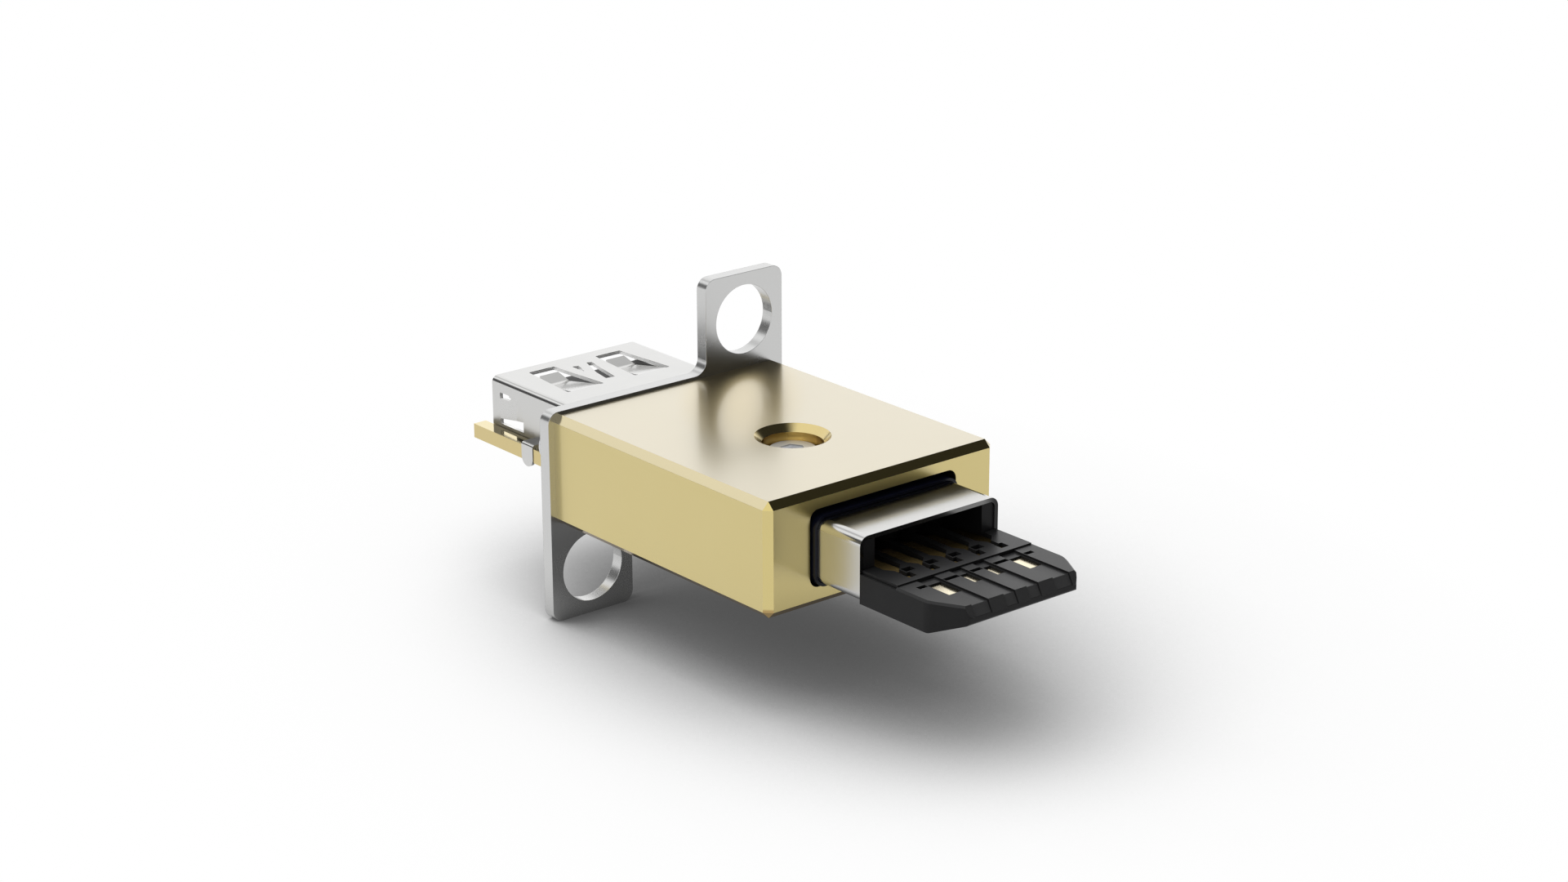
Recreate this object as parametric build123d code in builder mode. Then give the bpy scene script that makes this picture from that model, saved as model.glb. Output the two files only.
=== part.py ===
from build123d import *
import os

os.makedirs("parts", exist_ok=True)

# A panel adapter: a plug with an open nose at the front, a socket at the rear, joined by
# a small board inside a machined housing, with an eared plate that fixes it to a panel.
# Millimetres. +Z is up, the nose points to -Y, the socket opens to +Y. The origin is on
# the plug's axis, in the face of the plate that seats on the housing.

# Housing
housing_side = 3.35
housing_length = 23.05
housing_height = 8.0
housing_rise = 0.1
housing_chamfer = 0.5
bay_gap_side = 0.35
bay_gap_top = 0.6
bay_gap_bottom = 0.28
bay_corner = 0.7
plug_bay_depth = 5.6
rear_bay_depth = 4.2

# Plate with two ears
plate_thickness = 1.0
plate_overhang_side = 0.5
plate_overhang_end = 0.3
ear_reach = 6.85
ear_width = 6.95
ear_hole = 5.1
ear_hole_inset = 3.45
plate_corner = 0.85
plate_root = 1.0

# Screws
clamp_setback = 9.35
clamp_head = 3.8
clamp_head_height = 2.0
clamp_head_chamfer = 0.3
clamp_shank = 2.0
clamp_length = 4.0
clamp_sink = 0.9
clamp_hex = 1.5
clamp_hex_depth = 1.0
clamp_bore = 4.25
clamp_bore_chamfer = 0.5
clamp_clearance = 2.2
plate_screw_inset = 1.8
plate_screw_z = 1.4
plate_screw_shank = 1.6
plate_screw_length = 4.0
plate_screw_head = 2.9
plate_screw_head_height = 1.0
plate_screw_bevel = 0.3
plate_screw_hex = 1.3
plate_screw_hex_depth = 0.5
plate_screw_clearance = 1.8
hole_run_out = 0.2

# Board
board_thickness = 1.05
board_top = -0.42
board_arm = 1.05
board_rear = 13.2
board_front_gap = 0.15
fork_gap = 0.05
tab_notch_gap = 0.05

# Socket shell and what it holds
socket_width = 13.1
socket_height = 5.45
socket_rise = 0.475
socket_wall = 0.25
socket_bend = 0.5
socket_rear = 12.3
socket_front = -1.2
insulator_back = 3.5
tongue_end = 11.2
tongue_width = 11.1
tongue_thickness = 1.84
tongue_head_room = 0.65
tongue_nose = 0.35
socket_gap = 0.3

# Spring tongues stamped in the socket's shell
spring_x = 2.98
spring_thickness = 0.2
spring_root = 5.72
spring_tip = 10.25
spring_dip_y = 9.1
spring_dip = 0.55
spring_lift = 0.1
spring_bend = 0.7
spring_root_width = 2.6
spring_ridge_width = 2.0
spring_tip_width = 1.65
window_rear = 11.2
window_rear_width = 2.2
window_front_width = 3.2
window_corner = 0.14
window_bridge = 0.5
seam_short = ((-0.87, 10.3), (-0.4, 10.16), (-0.87, 8.5))
seam_long = ((0.5, 10.42), (0.87, 10.25), (0.14, 6.46), (-0.58, 6.57), (-0.3, 8.1))
seam_corner = 0.06
side_root = 11.35
side_end = 8.5
side_dip = 0.22
side_dip_y = 9.65
side_low = -0.16
side_high = 2.2
side_slot_end = 10.2
side_slot_low = 1.85
side_spring_low = 0.15
side_spring_slope = 0.38
side_spring_high = 1.96
side_slit = 0.1
tab_y = 6.52
tab_width = 1.35
tab_drop = 1.45
tab_reach = 1.15
tab_bend = 0.22

# Plug
plug_width = 12.0
plug_height = 4.5
plug_wall = 0.3
plug_bend = 0.7
plug_reach = 4.48
collar_wall = 0.2
collar_reach = 0.35
fit_gap = 0.02
nose_reach = 8.9
nose_taper_length = 2.53
nose_tip_width = 9.23
nose_top = -0.1
nose_edge = 0.14
nose_tip_rake = 0.43
nose_tip_drop = 0.8
nose_under_rise = 0.9
nose_under_length = 2.5
nose_corner = 1.5
nose_tip_corner = 0.6
nose_tip_round = 0.25
nose_under_round = 0.6
post_inner = 4.65
post_setback = 0.12
back_wall = 2.5
strip_depth = 0.12
strip_round = 0.1
strip_lip = 0.36
outer_strip_width = 1.44
inner_strip_width = 1.0
cover_top = 0.0
cover_thickness = 0.6
cover_reach = 3.4
cover_margin = 0.2
cover_tail = 4.5
cover_bridge = 0.5
collar_length = 5.0

# Contacts: a row of five and a row of four in both the plug and the socket
five_pitch = 2.0
outer_place = 3.5
inner_place = 1.0
contact_thickness = 0.15
blade_width = 0.5
blade_wide = 1.3
neck_gap = 0.04
plug_blade_tip = -0.28
plug_blade_crest = -0.22
plug_crest_reach = 1.6
plug_blade_middle = -0.35
plug_middle_inset = 2.5
plug_blade_low = -0.78
plug_low_inset = 3.7
slot_width = 1.44
slot_tip_width = 0.68
slot_tip_reach = 2.85
slot_neck_reach = 2.12
slot_neck_left = 0.28
slot_neck_right = 0.08
slot_taper_reach = 1.42
slot_wide_reach = 0.8
slot_floor = -1.15
notch_width = 0.8
notch_length = 0.57
notch_wall = 0.12
notch_reach = 1.4
outer_window_width = 1.2
inner_window_width = 0.76
window_back_reach = 4.2
outer_window_length = 2.0
inner_window_length = 1.43
pad_sink = 0.14
pad_neck = 0.1
pad_drop_length = 0.8
slit_length = 0.38
slit_depth = 0.45
slit_margin = 0.05
outer_slit_width = 0.7
tail_bend = 0.6
tail_length = 1.2
tail_clearance = 0.25
socket_tail_length = 2.2
socket_blade_low = -0.15
socket_blade_low_y = 8.7
socket_blade_tip = 9.35
socket_groove_width = 0.9
socket_groove_depth = 0.45
socket_groove_setback = 0.8
socket_groove_room = 0.05
socket_tail_end = 1.4
socket_tail_rise = 0.7
socket_lead_end = 2.3
socket_lead_dip = 0.6
socket_pad_width = 0.7
socket_lead_width = 0.4
socket_pad_rear = 9.7
socket_pad_front = 11.0

# Planes and edges that follow from the sizes above
housing_width = socket_width + 2 * housing_side
housing_top = housing_rise + housing_height / 2
plate_width = housing_width + 2 * plate_overhang_side
plate_body_height = housing_height + 2 * plate_overhang_end
plate_height = plate_body_height + 2 * ear_reach
plate_screw_x = plate_width / 2 - plate_screw_inset
clamp_y = clamp_setback - housing_length
fork_width = socket_width + 2 * fork_gap
board_width = fork_width + 2 * board_arm
board_bottom = board_top - board_thickness
plug_front = -housing_length - plug_reach
plug_rear = -housing_length + plug_bay_depth
plug_bottom = -plug_height / 2
board_front = plug_rear + board_front_gap
nose_tip = plug_front - nose_reach
socket_top = socket_rise + socket_height / 2
socket_side = socket_width / 2
bay_width = plug_width + 2 * bay_gap_side
bay_height = plug_height + bay_gap_top + bay_gap_bottom
bay_centre = (bay_gap_top - bay_gap_bottom) / 2
socket_bay_width = socket_width + 2 * socket_gap
socket_bay_height = socket_height + 2 * socket_gap
board_slot_width = board_width + 2 * fit_gap
board_slot_height = board_thickness + 2 * fit_gap
board_middle = board_top - board_thickness / 2
clamp_head_top = housing_top - clamp_sink
clamp_seat = clamp_head_top - clamp_head_height
cover_front = plug_front - cover_reach
cover_bottom = cover_top - cover_thickness
five_places = [five_pitch * step for step in (-2, -1, 0, 1, 2)]
four_places = [-outer_place, -inner_place, inner_place, outer_place]
tongue_top = socket_top - socket_wall - tongue_head_room
tongue_bottom = tongue_top - tongue_thickness


def ribbon(points, thickness, width, bends=None):
    """A strip of metal: an open path in (y, z), thickened downwards, width wide in x.

    bends gives the radius at each inner point of the path, or none for sharp bends.
    """
    with BuildPart() as strip:
        with BuildSketch(Plane.YZ):
            with BuildLine():
                if bends:
                    FilletPolyline(*points, radius=bends)
                else:
                    Polyline(*points)
                offset(amount=thickness, side=Side.RIGHT, kind=Kind.INTERSECTION)
            make_face()
        extrude(amount=width / 2, both=True)
    return strip.part


# Housing: a block chamfered except where the plate covers it, with a bay at each end and a slot
# for the board between
with BuildPart() as housing:
    with BuildSketch(Plane.XZ):
        with Locations((0, housing_rise)):
            Rectangle(housing_width, housing_height)
    extrude(amount=housing_length)
    front_edges = housing.faces().sort_by(Axis.Y)[0].edges()
    long_edges = housing.edges().filter_by(Axis.Y)
    chamfer(front_edges + long_edges, housing_chamfer)
    with BuildSketch(Plane.XZ.offset(housing_length)):
        with Locations((0, bay_centre)):
            RectangleRounded(bay_width, bay_height, bay_corner)
    extrude(amount=-plug_bay_depth, mode=Mode.SUBTRACT)
    with BuildSketch(Plane.XZ):
        with Locations((0, socket_rise)):
            RectangleRounded(socket_bay_width, socket_bay_height, socket_bend)
    extrude(amount=rear_bay_depth, mode=Mode.SUBTRACT)
    with BuildSketch(Plane.XZ):
        with Locations((0, board_middle)):
            Rectangle(board_slot_width, board_slot_height)
    extrude(amount=-plug_rear, mode=Mode.SUBTRACT)
    with BuildSketch(Plane.XZ.offset(-plug_rear)):
        with Locations((0, board_middle)):
            Rectangle(five_places[-1] * 2 + blade_width + 2 * tail_clearance + contact_thickness,
                      board_thickness + 2 * (contact_thickness + tail_clearance))
    extrude(amount=-tail_length - tail_clearance, mode=Mode.SUBTRACT)
    with Locations((0, clamp_y, housing_top)):
        CounterBoreHole(clamp_clearance / 2, clamp_bore / 2, housing_top - clamp_seat,
                        depth=housing_top - board_middle)
    with Locations((0, clamp_y, board_middle)):
        Hole(clamp_shank / 2 + fit_gap, depth=clamp_length - (clamp_seat - board_middle) + hole_run_out)
    bore_rim = housing.edges().filter_by(GeomType.CIRCLE).sort_by(Axis.Z)[-1]
    chamfer(bore_rim, clamp_bore_chamfer)
    with BuildSketch(Plane.XZ):
        with Locations((-plate_screw_x, plate_screw_z), (plate_screw_x, plate_screw_z)):
            Circle(plate_screw_shank / 2 + fit_gap)
    extrude(amount=plate_screw_length - plate_thickness + hole_run_out, mode=Mode.SUBTRACT)

housing.part.label = "housing"
export_step(housing.part, "parts/housing.step")

# Plate: a stepped outline with one ear up on the right and one ear down on the left
half_plate = plate_width / 2
half_body = plate_body_height / 2
half_ears = plate_height / 2
ear_x = half_plate - ear_width / 2
ear_z = half_ears - ear_hole_inset
plate_outline = [(-half_plate, -half_ears), (-half_plate + ear_width, -half_ears),
                 (-half_plate + ear_width, -half_body), (half_plate, -half_body),
                 (half_plate, half_ears), (half_plate - ear_width, half_ears),
                 (half_plate - ear_width, half_body), (-half_plate, half_body)]
with BuildPart() as mounting_plate:
    with BuildSketch(Plane.XZ):
        with BuildLine():
            FilletPolyline(*plate_outline, close=True,
                           radius=[plate_corner, plate_corner, plate_root, plate_corner] * 2)
        make_face()
        with Locations((ear_x, ear_z), (-ear_x, -ear_z)):
            Circle(ear_hole / 2, mode=Mode.SUBTRACT)
        with Locations((-plate_screw_x, plate_screw_z), (plate_screw_x, plate_screw_z)):
            Circle(plate_screw_clearance / 2, mode=Mode.SUBTRACT)
        with Locations((0, socket_rise)):
            RectangleRounded(socket_bay_width, socket_bay_height, socket_bend, mode=Mode.SUBTRACT)
        with Locations((0, board_middle)):
            Rectangle(board_slot_width, board_slot_height, mode=Mode.SUBTRACT)
    extrude(amount=-plate_thickness)

mounting_plate.part.label = "mounting_plate"
export_step(mounting_plate.part, "parts/mounting_plate.step")

# The screws that hold the plate to the housing
for side, screw_x in (("left", -plate_screw_x), ("right", plate_screw_x)):
    with BuildPart() as plate_screw:
        with BuildSketch(Plane.XZ.offset(-plate_thickness)):
            with Locations((screw_x, plate_screw_z)):
                Circle(plate_screw_head / 2)
        extrude(amount=-plate_screw_head_height)
        chamfer(plate_screw.edges().sort_by(Axis.Y)[-1], plate_screw_bevel)
        with BuildSketch(Plane.XZ.offset(-plate_thickness)):
            with Locations((screw_x, plate_screw_z)):
                Circle(plate_screw_shank / 2)
        extrude(amount=plate_screw_length)
        with BuildSketch(Plane.XZ.offset(-plate_thickness - plate_screw_head_height)):
            with Locations((screw_x, plate_screw_z)):
                RegularPolygon(plate_screw_hex / 2, 6, major_radius=False)
        extrude(amount=plate_screw_hex_depth, mode=Mode.SUBTRACT)
    plate_screw.part.label = f"plate_screw_{side}"
    export_step(plate_screw.part, f"parts/plate_screw_{side}.step")

# The screw that clamps the board from above
with BuildPart() as clamp_screw:
    with BuildSketch(Plane.XY.offset(clamp_seat)):
        with Locations((0, clamp_y)):
            Circle(clamp_head / 2)
    extrude(amount=clamp_head_height)
    chamfer(clamp_screw.edges().sort_by(Axis.Z)[-1], clamp_head_chamfer)
    with BuildSketch(Plane.XY.offset(clamp_seat)):
        with Locations((0, clamp_y)):
            Circle(clamp_shank / 2)
    extrude(amount=-clamp_length)
    with BuildSketch(Plane.XY.offset(clamp_head_top)):
        with Locations((0, clamp_y)):
            RegularPolygon(clamp_hex / 2, 6, major_radius=False)
    extrude(amount=-clamp_hex_depth, mode=Mode.SUBTRACT)

clamp_screw.part.label = "clamp_screw"
export_step(clamp_screw.part, "parts/clamp_screw.step")

# Board: a fork at the rear whose arms lie beside the socket, notched for the shell's tabs
tab_inner = socket_side + tab_reach - socket_wall
with BuildPart() as board:
    with BuildSketch(Plane.XY.offset(board_bottom)):
        with Locations((0, (board_rear + board_front) / 2)):
            Rectangle(board_width, board_rear - board_front)
        with Locations((0, (board_rear + socket_front - fork_gap) / 2)):
            Rectangle(fork_width, board_rear - socket_front + fork_gap, mode=Mode.SUBTRACT)
        with Locations((0, clamp_y)):
            Circle(clamp_clearance / 2, mode=Mode.SUBTRACT)
        with Locations((-board_width / 2, tab_y), (board_width / 2, tab_y)):
            Rectangle(board_width - 2 * tab_inner + 2 * tab_notch_gap, tab_width + 2 * tab_notch_gap,
                      mode=Mode.SUBTRACT)
    extrude(amount=board_thickness)

board.part.label = "board"
export_step(board.part, "parts/board.step")

# One spring tongue of the socket's roof, bent down to a ridge and up again at its free end
with BuildPart() as roof_spring:
    add(ribbon([(spring_root - window_bridge, socket_top), (spring_root, socket_top),
                (spring_dip_y, socket_top - spring_dip), (spring_tip, socket_top - spring_lift)],
               spring_thickness, spring_root_width, [spring_bend, spring_bend]))
    with BuildSketch(Plane.XY.offset(socket_top)):
        with BuildLine():
            Polyline((-spring_root_width / 2, spring_root - window_bridge),
                     (spring_root_width / 2, spring_root - window_bridge),
                     (spring_root_width / 2, spring_root), (spring_ridge_width / 2, spring_dip_y),
                     (spring_tip_width / 2, spring_tip), (-spring_tip_width / 2, spring_tip),
                     (-spring_ridge_width / 2, spring_dip_y), (-spring_root_width / 2, spring_root),
                     close=True)
        make_face()
    extrude(amount=-socket_height / 2, mode=Mode.INTERSECT)

# One spring tongue of the socket's side wall, rooted at the rear and bowed inwards
with BuildPart() as side_spring:
    with BuildSketch(Plane.XY):
        with BuildLine():
            Polyline((-socket_side, side_root + window_bridge), (-socket_side, side_root),
                     (-socket_side + side_dip, side_dip_y),
                     (-socket_side + side_dip, side_end + side_slit))
            offset(amount=spring_thickness, side=Side.LEFT, kind=Kind.INTERSECTION)
        make_face()
    extrude(amount=socket_height / 2)
    with BuildSketch(Plane.YZ.offset(-socket_side)):
        with BuildLine():
            Polyline((side_root + window_bridge, side_spring_low),
                     (side_end, side_spring_low + side_spring_slope),
                     (side_end, side_spring_high), (side_slot_end, side_spring_high),
                     (side_slot_end + side_slit, side_slot_low - side_slit),
                     (side_root + window_bridge, side_slot_low - side_slit), close=True)
        make_face()
    extrude(amount=socket_side, mode=Mode.INTERSECT)

# The tab that is bent out over the board's arm and down past its edge
tab_side = -socket_side - tab_reach
with BuildPart() as tab:
    with BuildSketch(Plane.XZ.offset(-tab_y - tab_width / 2)):
        with BuildLine():
            Polyline((-socket_side + socket_wall, board_top), (tab_side + socket_wall, board_top),
                     (tab_side + socket_wall, board_top - tab_drop), (tab_side, board_top - tab_drop),
                     (tab_side, board_top + socket_wall),
                     (-socket_side + socket_wall, board_top + socket_wall), close=True)
        make_face()
    extrude(amount=tab_width)
    outer_bend = tab.edges().filter_by(Axis.Y).sort_by(Axis.Z)[-2:].sort_by(Axis.X)[0]
    fillet(outer_bend, tab_bend)
    with BuildSketch(Plane.YZ.offset(tab_side)):
        with Locations((tab_y, board_top - tab_drop + tab_width / 2)):
            Circle(tab_width / 2)
        with Locations((tab_y, board_top - tab_drop + tab_width / 2)):
            Rectangle(tab_width, tab_drop + socket_wall - tab_width / 2, align=(Align.CENTER, Align.MIN))
    extrude(amount=tab_reach + socket_wall, mode=Mode.INTERSECT)

# Socket shell: a folded tube with stamped windows, spring tongues and two board tabs
with BuildPart() as socket_shell:
    with BuildSketch(Plane.XZ.offset(-socket_rear)):
        with Locations((0, socket_rise)):
            RectangleRounded(socket_width, socket_height, socket_bend)
            RectangleRounded(socket_width - 2 * socket_wall, socket_height - 2 * socket_wall,
                             socket_bend - socket_wall, mode=Mode.SUBTRACT)
    extrude(amount=socket_rear - socket_front)
    with BuildSketch(Plane.XY.offset(socket_top)):
        with BuildLine():
            FilletPolyline((spring_x - window_rear_width / 2, window_rear),
                           (spring_x + window_rear_width / 2, window_rear),
                           (spring_x + window_front_width / 2, spring_root),
                           (spring_x - window_front_width / 2, spring_root),
                           radius=window_corner, close=True)
        make_face()
        mirror(about=Plane.YZ)
    extrude(amount=-socket_height, mode=Mode.SUBTRACT)
    with BuildSketch(Plane.XY.offset(socket_top)):
        for seam in (seam_short, seam_long):
            with BuildLine():
                FilletPolyline(*seam, radius=seam_corner, close=True)
            make_face()
    extrude(amount=-socket_height / 2, mode=Mode.SUBTRACT)
    with BuildSketch(Plane.YZ):
        with BuildLine():
            FilletPolyline((side_root, side_low), (side_end, side_low),
                           (side_end, side_spring_high + side_slit),
                           (side_slot_end, side_spring_high + side_slit), (side_slot_end, side_high),
                           (side_root, side_high), radius=[0, 0, 0, 0, side_slit, side_slit], close=True)
        make_face()
    extrude(amount=socket_width, both=True, mode=Mode.SUBTRACT)
    with Locations((spring_x, 0, 0), (-spring_x, 0, 0)):
        add(roof_spring.part)
        add(mirror(roof_spring.part, about=Plane.XY.offset(socket_rise)))
    for half in (side_spring.part, tab.part):
        add(half)
        add(mirror(half, about=Plane.YZ))

socket_shell.part.label = "socket_shell"
export_step(socket_shell.part, "parts/socket_shell.step")

# Contacts of the socket: four blades sprung below its tongue, five pads flush with the tongue
blade_groove_rear = insulator_back + socket_groove_setback
blade_root = tongue_bottom + socket_groove_depth - socket_groove_room
lead_level = tongue_bottom + tongue_thickness / 2
with BuildPart() as socket_blade:
    add(ribbon([(socket_front - socket_tail_length, board_top + contact_thickness),
                (socket_front + socket_tail_end, board_top + contact_thickness),
                (socket_front + socket_tail_end + socket_tail_rise, blade_root),
                (blade_groove_rear, blade_root),
                (socket_blade_low_y, socket_blade_low + contact_thickness),
                (socket_blade_tip, tongue_bottom + contact_thickness)], contact_thickness, blade_width))
with BuildPart() as socket_lead:
    add(ribbon([(socket_front - socket_tail_length, board_bottom),
                (socket_front + socket_lead_end, board_bottom),
                (socket_front + socket_lead_end + socket_tail_rise, lead_level),
                (socket_pad_rear - socket_lead_dip, lead_level),
                (socket_pad_rear, tongue_bottom + contact_thickness),
                (socket_pad_front, tongue_bottom + contact_thickness)], contact_thickness, socket_lead_width))
    with BuildSketch(Plane.XY.offset(tongue_bottom)):
        with Locations((0, (socket_pad_rear + socket_pad_front) / 2 + contact_thickness)):
            Rectangle(socket_pad_width, socket_pad_front - socket_pad_rear - 2 * contact_thickness)
    extrude(amount=contact_thickness)

socket_contacts = []
for kind, shape, places in (("spring", socket_blade.part, four_places),
                            ("pad", socket_lead.part, five_places)):
    for number, place in enumerate(places, 1):
        with BuildPart() as contact:
            with Locations((place, 0, 0)):
                add(shape)
        contact.part.label = f"socket_{kind}_{number}"
        export_step(contact.part, f"parts/socket_{kind}_{number}.step")
        socket_contacts.append(contact.part)

# Socket insulator: a block that fills the shell's front with a tongue in its upper half
with BuildPart() as socket_insulator:
    with BuildSketch(Plane.XZ.offset(-insulator_back)):
        with Locations((0, socket_rise)):
            RectangleRounded(socket_width - 2 * (socket_wall + fit_gap),
                             socket_height - 2 * (socket_wall + fit_gap), socket_bend - socket_wall)
    extrude(amount=insulator_back - socket_front)
    with BuildSketch(Plane.XZ.offset(-tongue_end)):
        with Locations((0, (tongue_top + tongue_bottom) / 2)):
            Rectangle(tongue_width, tongue_thickness)
    extrude(amount=tongue_end - insulator_back)
    chamfer(socket_insulator.faces().sort_by(Axis.Y)[-1].edges(), tongue_nose)
    with BuildSketch(Plane.XY.offset(tongue_bottom)):
        for place in four_places:
            with Locations((place, (blade_groove_rear + socket_blade_tip + fit_gap) / 2)):
                Rectangle(socket_groove_width, socket_blade_tip + fit_gap - blade_groove_rear)
    extrude(amount=socket_groove_depth, mode=Mode.SUBTRACT)
    for piece in socket_contacts:
        add(piece, mode=Mode.SUBTRACT)

socket_insulator.part.label = "socket_insulator"
export_step(socket_insulator.part, "parts/socket_insulator.step")

# Plug shell and the sleeve around it
with BuildPart() as plug_shell:
    with BuildSketch(Plane.XZ.offset(-plug_front)):
        RectangleRounded(plug_width, plug_height, plug_bend)
        RectangleRounded(plug_width - 2 * plug_wall, plug_height - 2 * plug_wall,
                         plug_bend - plug_wall, mode=Mode.SUBTRACT)
    extrude(amount=plug_front - plug_rear)

plug_shell.part.label = "plug_shell"
export_step(plug_shell.part, "parts/plug_shell.step")

with BuildPart() as plug_collar:
    with BuildSketch(Plane.XZ.offset(housing_length + collar_reach)):
        RectangleRounded(plug_width + 2 * (fit_gap + collar_wall), plug_height + 2 * (fit_gap + collar_wall),
                         plug_bend + collar_wall)
        RectangleRounded(plug_width + 2 * fit_gap, plug_height + 2 * fit_gap, plug_bend, mode=Mode.SUBTRACT)
    extrude(amount=-collar_length)

plug_collar.part.label = "plug_collar"
export_step(plug_collar.part, "parts/plug_collar.step")

# Contacts of the plug: five blades that rise through the cover, four pads in windows
tip_y = plug_front - slot_tip_reach + fit_gap
slot_neck_front = plug_front - slot_neck_reach
slot_taper_front = plug_front - slot_taper_reach
slot_wide_front = plug_front - slot_wide_reach
blade_wide_rear = plug_rear - back_wall - tail_bend
with BuildPart() as plug_blade:
    add(ribbon([(tip_y, plug_blade_tip), (plug_front - plug_crest_reach, plug_blade_crest),
                (plug_front + plug_middle_inset, plug_blade_middle),
                (plug_front + plug_low_inset, plug_blade_low),
                (plug_rear - back_wall - tail_bend, plug_blade_low),
                (plug_rear - back_wall + tail_bend, board_top + contact_thickness),
                (plug_rear + tail_length, board_top + contact_thickness)], contact_thickness, blade_wide))
    with BuildSketch(Plane.XY.offset(-plug_height / 2)):
        with Locations((0, (blade_wide_rear + plug_rear + tail_length) / 2)):
            Rectangle(blade_width, plug_rear + tail_length - blade_wide_rear)
        with BuildLine():
            Polyline((-blade_width / 2, tip_y), (-blade_width / 2, slot_taper_front),
                     (-blade_wide / 2, slot_wide_front), (-blade_wide / 2, blade_wide_rear),
                     (blade_wide / 2, blade_wide_rear), (blade_wide / 2, slot_wide_front),
                     (slot_neck_right - neck_gap, slot_taper_front),
                     (slot_neck_right - neck_gap, slot_neck_front - neck_gap),
                     (blade_width / 2, slot_neck_front - neck_gap), (blade_width / 2, tip_y), close=True)
        make_face()
    extrude(amount=plug_height, mode=Mode.INTERSECT)

strip_level = nose_top - strip_depth
pad_level = strip_level - pad_sink
window_rear_y = plug_front - window_back_reach
plug_contacts = []
for number, place in enumerate(five_places, 1):
    with BuildPart() as contact:
        with Locations((place, 0, 0)):
            add(plug_blade.part)
    contact.part.label = f"plug_spring_{number}"
    export_step(contact.part, f"parts/plug_spring_{number}.step")
    plug_contacts.append(contact.part)

for number, place in enumerate(four_places, 1):
    outer = abs(place) == outer_place
    window_length = outer_window_length if outer else inner_window_length
    window_width = outer_window_width if outer else inner_window_width
    with BuildPart() as contact:
        with Locations((place, 0, 0)):
            add(ribbon([(window_rear_y - window_length, pad_level), (window_rear_y, pad_level)],
                       contact_thickness, window_width))
            add(ribbon([(window_rear_y - pad_neck, pad_level),
                        (window_rear_y + pad_neck, pad_level),
                        (window_rear_y + pad_neck + pad_drop_length, board_bottom),
                        (plug_rear + tail_length, board_bottom)], contact_thickness, blade_width))
    contact.part.label = f"plug_pad_{number}"
    export_step(contact.part, f"parts/plug_pad_{number}.step")
    plug_contacts.append(contact.part)

# Plug nose: the long tray in front of the shell and the body that carries the contacts in it,
# cut to a tapered outline with a bevelled upper edge
nose_edge_y = nose_tip + nose_tip_rake
lip_z = nose_top - nose_tip_drop
inner_height = plug_height - 2 * plug_wall
raised = [(-plug_width / 2, -outer_place - outer_strip_width / 2),
          (-outer_place + outer_strip_width / 2, -inner_place - inner_strip_width / 2),
          (-inner_place + inner_strip_width / 2, inner_place - inner_strip_width / 2),
          (inner_place + inner_strip_width / 2, outer_place - outer_strip_width / 2),
          (outer_place + outer_strip_width / 2, plug_width / 2)]
with BuildPart() as nose_outline:
    with BuildSketch(Plane.XY.offset(plug_bottom)):
        with BuildLine():
            FilletPolyline((plug_width / 2, 0), (plug_width / 2, nose_tip + nose_taper_length),
                           (nose_tip_width / 2, nose_tip), (-nose_tip_width / 2, nose_tip),
                           (-plug_width / 2, nose_tip + nose_taper_length), (-plug_width / 2, 0),
                           radius=[0, nose_corner, nose_tip_corner, nose_tip_corner, nose_corner, 0],
                           close=True)
        make_face()
    extrude(amount=nose_top - nose_edge - plug_bottom)
    extrude(nose_outline.faces().sort_by(Axis.Z)[-1], amount=cover_top - nose_top + 2 * nose_edge, taper=45)

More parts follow.
